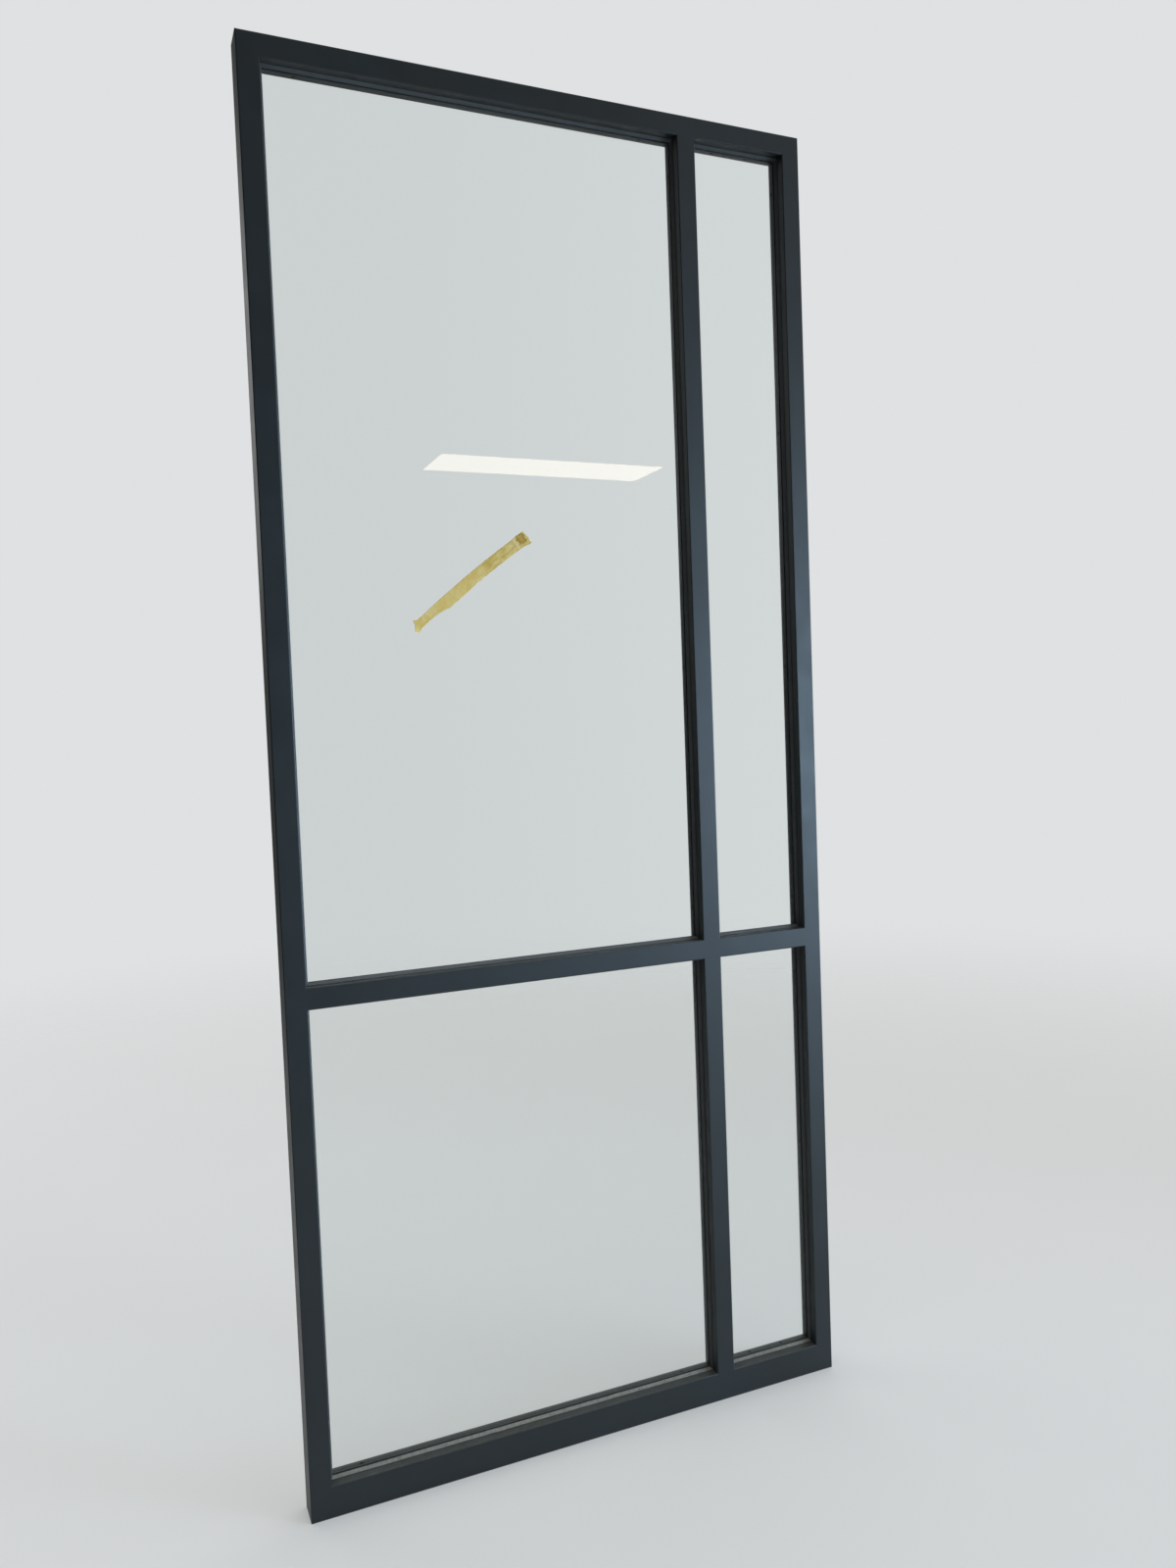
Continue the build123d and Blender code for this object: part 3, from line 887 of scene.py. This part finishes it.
def light_world(stage):
    """Room light on the leaf, and the plain backdrop that the camera, glass and gloss see."""
    world = bpy.data.worlds.new("studio_surround")
    bpy.context.scene.world = world
    world.use_nodes = True
    tree = world.node_tree
    tree.nodes.clear()
    toward = add_node(tree, "ShaderNodeTexCoord").outputs["Generated"]
    height = add_node(tree, "ShaderNodeSeparateXYZ", {0: toward}).outputs["Z"]
    # A pale ceiling over a room that is lit from the right and behind, and dim at the left and in front
    aside = add_node(
        tree, "ShaderNodeVectorMath", {0: toward, 1: LIT_SIDE}, operation="DOT_PRODUCT"
    ).outputs["Value"]
    lit_side = add_node(
        tree,
        "ShaderNodeMapRange",
        {"Value": aside, "From Min": -0.05, "From Max": 0.60},
        interpolation_type="SMOOTHSTEP",
    ).outputs[0]
    room = add_node(
        tree, "ShaderNodeMix", {0: lit_side, 2: stage.room_front, 3: stage.room}, data_type="FLOAT"
    ).outputs[0]
    overhead = add_node(
        tree,
        "ShaderNodeMapRange",
        {"Value": height, "From Min": 0.70, "From Max": 0.95},
        interpolation_type="SMOOTHSTEP",
    ).outputs[0]
    even = add_node(
        tree, "ShaderNodeMix", {0: overhead, 2: room, 3: stage.ceiling}, data_type="FLOAT"
    ).outputs[0]
    light = add_node(tree, "ShaderNodeBackground", {"Color": linear("#FFFFFF"), "Strength": even})
    plain = add_node(tree, "ShaderNodeBackground", {"Color": stage.backdrop[:], "Strength": 1.0})
    # The camera, gloss and glass see the backdrop; what is mirrored shows it on the lit side only
    path = add_node(tree, "ShaderNodeLightPath")
    seen = rays_that_see(tree, path)
    mirrored = add_node(
        tree, "ShaderNodeMath", {0: path.outputs["Glossy Depth"], 1: 0.5}, operation="GREATER_THAN"
    ).outputs[0]
    share = add_node(tree, "ShaderNodeMix", {0: mirrored, 2: 1.0, 3: lit_side}, data_type="FLOAT").outputs[0]
    shown = add_node(tree, "ShaderNodeMath", {0: seen, 1: share}, operation="MULTIPLY").outputs[0]
    mixed = add_node(tree, "ShaderNodeMixShader", {0: shown, 1: light.outputs[0], 2: plain.outputs[0]})
    add_node(tree, "ShaderNodeOutputWorld", {"Surface": mixed.outputs[0]})


def add_panel_light(name, place, target, width, height, radiance, colour, spread=180.0):
    """Soft rectangular lamp that faces a point; at full spread, a camera would see its radiance."""
    lamp = bpy.data.lights.new(name, "AREA")
    lamp.shape = "RECTANGLE"
    lamp.size = width
    lamp.size_y = height
    lamp.energy = radiance * math.pi * width * height
    lamp.color = colour[:3]
    lamp.spread = math.radians(spread)
    holder = bpy.data.objects.new(name, lamp)
    holder.location = place
    holder.rotation_euler = (Vector(target) - Vector(place)).to_track_quat("-Z", "Y").to_euler()
    holder.visible_camera = False
    holder.visible_transmission = False
    bpy.context.scene.collection.objects.link(holder)


def place_lamps(stage):
    """A strip lamp on the ceiling in front, a cool window at the right and a soft panel high behind."""
    add_panel_light("strip_lamp", *STRIP_LAMP, stage.strip_lamp, stage.lamplight)
    add_panel_light("window", *WINDOW, stage.window, stage.daylight, WINDOW_SPREAD)
    add_panel_light("back_panel", *BACK_PANEL, stage.back_panel, linear("#FFFFFF"))


def place_camera():
    """Camera at the height of a person's chest, left of the leaf and turned to the right."""
    lens = bpy.data.cameras.new("viewer")
    lens.sensor_fit = "AUTO"
    lens.sensor_width = SENSOR_WIDTH
    lens.lens = FOCAL_LENGTH
    lens.clip_start = NEAREST_SEEN * MM
    viewer = bpy.data.objects.new("viewer", lens)
    turn = Matrix((CAMERA_RIGHT, -CAMERA_DOWN, -CAMERA_AHEAD)).transposed()
    viewer.matrix_world = Matrix.Translation(CAMERA_PLACE) @ turn.to_4x4()
    bpy.context.scene.collection.objects.link(viewer)
    bpy.context.scene.camera = viewer
    bpy.context.scene.view_settings.view_transform = "Standard"


class LEAF_OT_coat_frame(Operator):
    """Coat the bars, their end caps and the glazing beads"""

    bl_idname = "door_leaf.coat_frame"
    bl_label = "Coat Frame"

    def execute(self, context):
        caps = [f"{side}_stile_{end}_cap" for side in ("left", "right") for end in ("foot", "head")]
        beads = [f"{pane}_{side}_bead" for pane in PANES for side in ("left", "right", "bottom", "top")]
        dress([*BARS, *caps, *beads], powder_coated_steel(context.scene.leaf_finish))
        return {"FINISHED"}


class LEAF_OT_glaze_panes(Operator):
    """Give the four panes their glass"""

    bl_idname = "door_leaf.glaze_panes"
    bl_label = "Glaze Panes"

    def execute(self, context):
        dress([f"{pane}_glass" for pane in PANES], float_glass(context.scene.leaf_finish))
        return {"FINISHED"}


class LEAF_OT_seal_panes(Operator):
    """Give the gaskets on both faces of the panes their rubber"""

    bl_idname = "door_leaf.seal_panes"
    bl_label = "Seal Panes"

    def execute(self, context):
        gaskets = [f"{pane}_{face}_gasket" for pane in PANES for face in ("front", "back")]
        dress(gaskets, gasket_rubber(context.scene.leaf_finish))
        return {"FINISHED"}


class LEAF_OT_set_blocks(Operator):
    """Give the setting and location blocks their plastic"""

    bl_idname = "door_leaf.set_blocks"
    bl_label = "Set Blocks"

    def execute(self, context):
        blocks = [f"{pane}_{kind}_blocks" for pane in PANES for kind in ("setting", "location")]
        dress(blocks, block_plastic(context.scene.leaf_finish))
        return {"FINISHED"}


class LEAF_OT_drive_screws(Operator):
    """Build the countersunk screws of every bead, with recess and thread"""

    bl_idname = "door_leaf.drive_screws"
    bl_label = "Drive Screws"

    def execute(self, context):
        screw = context.scene.leaf_screws
        material = zinc_plate(screw)
        dress([f"{pane}_bead_screws" for pane in PANES], material)
        for pane in PANES:
            piece = make_pane_screws(screw, pane, material)
            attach(piece, "root")
            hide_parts(f"{pane}_bead_screws")
        return {"FINISHED"}


class LEAF_OT_stick_tape(Operator):
    """Build the torn and wrinkled strip of masking tape on the large pane"""

    bl_idname = "door_leaf.stick_tape"
    bl_label = "Stick Tape"

    def execute(self, context):
        strip = make_tape_strip(context.scene.leaf_tape)
        dress(["masking_tape"], strip.data.materials[0])
        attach(strip, "root")
        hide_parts("masking_tape")
        return {"FINISHED"}


class LEAF_OT_build_stage(Operator):
    """Lay the floor and place the lamps, the backdrop and the camera"""

    bl_idname = "door_leaf.build_stage"
    bl_label = "Build Stage"

    def execute(self, context):
        stage = context.scene.leaf_stage
        lay_floor(stage)
        light_world(stage)
        place_lamps(stage)
        place_camera()
        return {"FINISHED"}


OPERATORS = (
    LEAF_OT_coat_frame,
    LEAF_OT_glaze_panes,
    LEAF_OT_seal_panes,
    LEAF_OT_set_blocks,
    LEAF_OT_drive_screws,
    LEAF_OT_stick_tape,
    LEAF_OT_build_stage,
)
SETTINGS = {
    "leaf_finish": LeafFinishSettings,
    "leaf_screws": LeafScrewSettings,
    "leaf_tape": LeafTapeSettings,
    "leaf_stage": LeafStageSettings,
}


class LEAF_PT_sidebar(Panel):
    """Sidebar panel of the door leaf"""

    bl_idname = "LEAF_PT_sidebar"
    bl_label = "Door Leaf"
    bl_space_type = "VIEW_3D"
    bl_region_type = "UI"
    bl_category = "Door Leaf"

    def draw(self, context):
        for operator in OPERATORS:
            self.layout.operator(operator.bl_idname)
        for name, group in SETTINGS.items():
            box = self.layout.box()
            box.label(text=group.__doc__)
            for setting in group.__annotations__:
                box.prop(getattr(context.scene, name), setting)


def register():
    """Register the settings, the operators and the panel."""
    for cls in (*SETTINGS.values(), *OPERATORS, LEAF_PT_sidebar):
        bpy.utils.register_class(cls)
    for name, group in SETTINGS.items():
        setattr(bpy.types.Scene, name, PointerProperty(type=group))


def unregister():
    """Undo register."""
    for name in SETTINGS:
        delattr(bpy.types.Scene, name)
    for cls in reversed((*SETTINGS.values(), *OPERATORS, LEAF_PT_sidebar)):
        bpy.utils.unregister_class(cls)


def main():
    """Build everything: register the add-on and run each operator."""
    register()
    for operator in OPERATORS:
        group, name = operator.bl_idname.split(".")
        getattr(getattr(bpy.ops, group), name)()


if __name__ == "__main__":
    main()
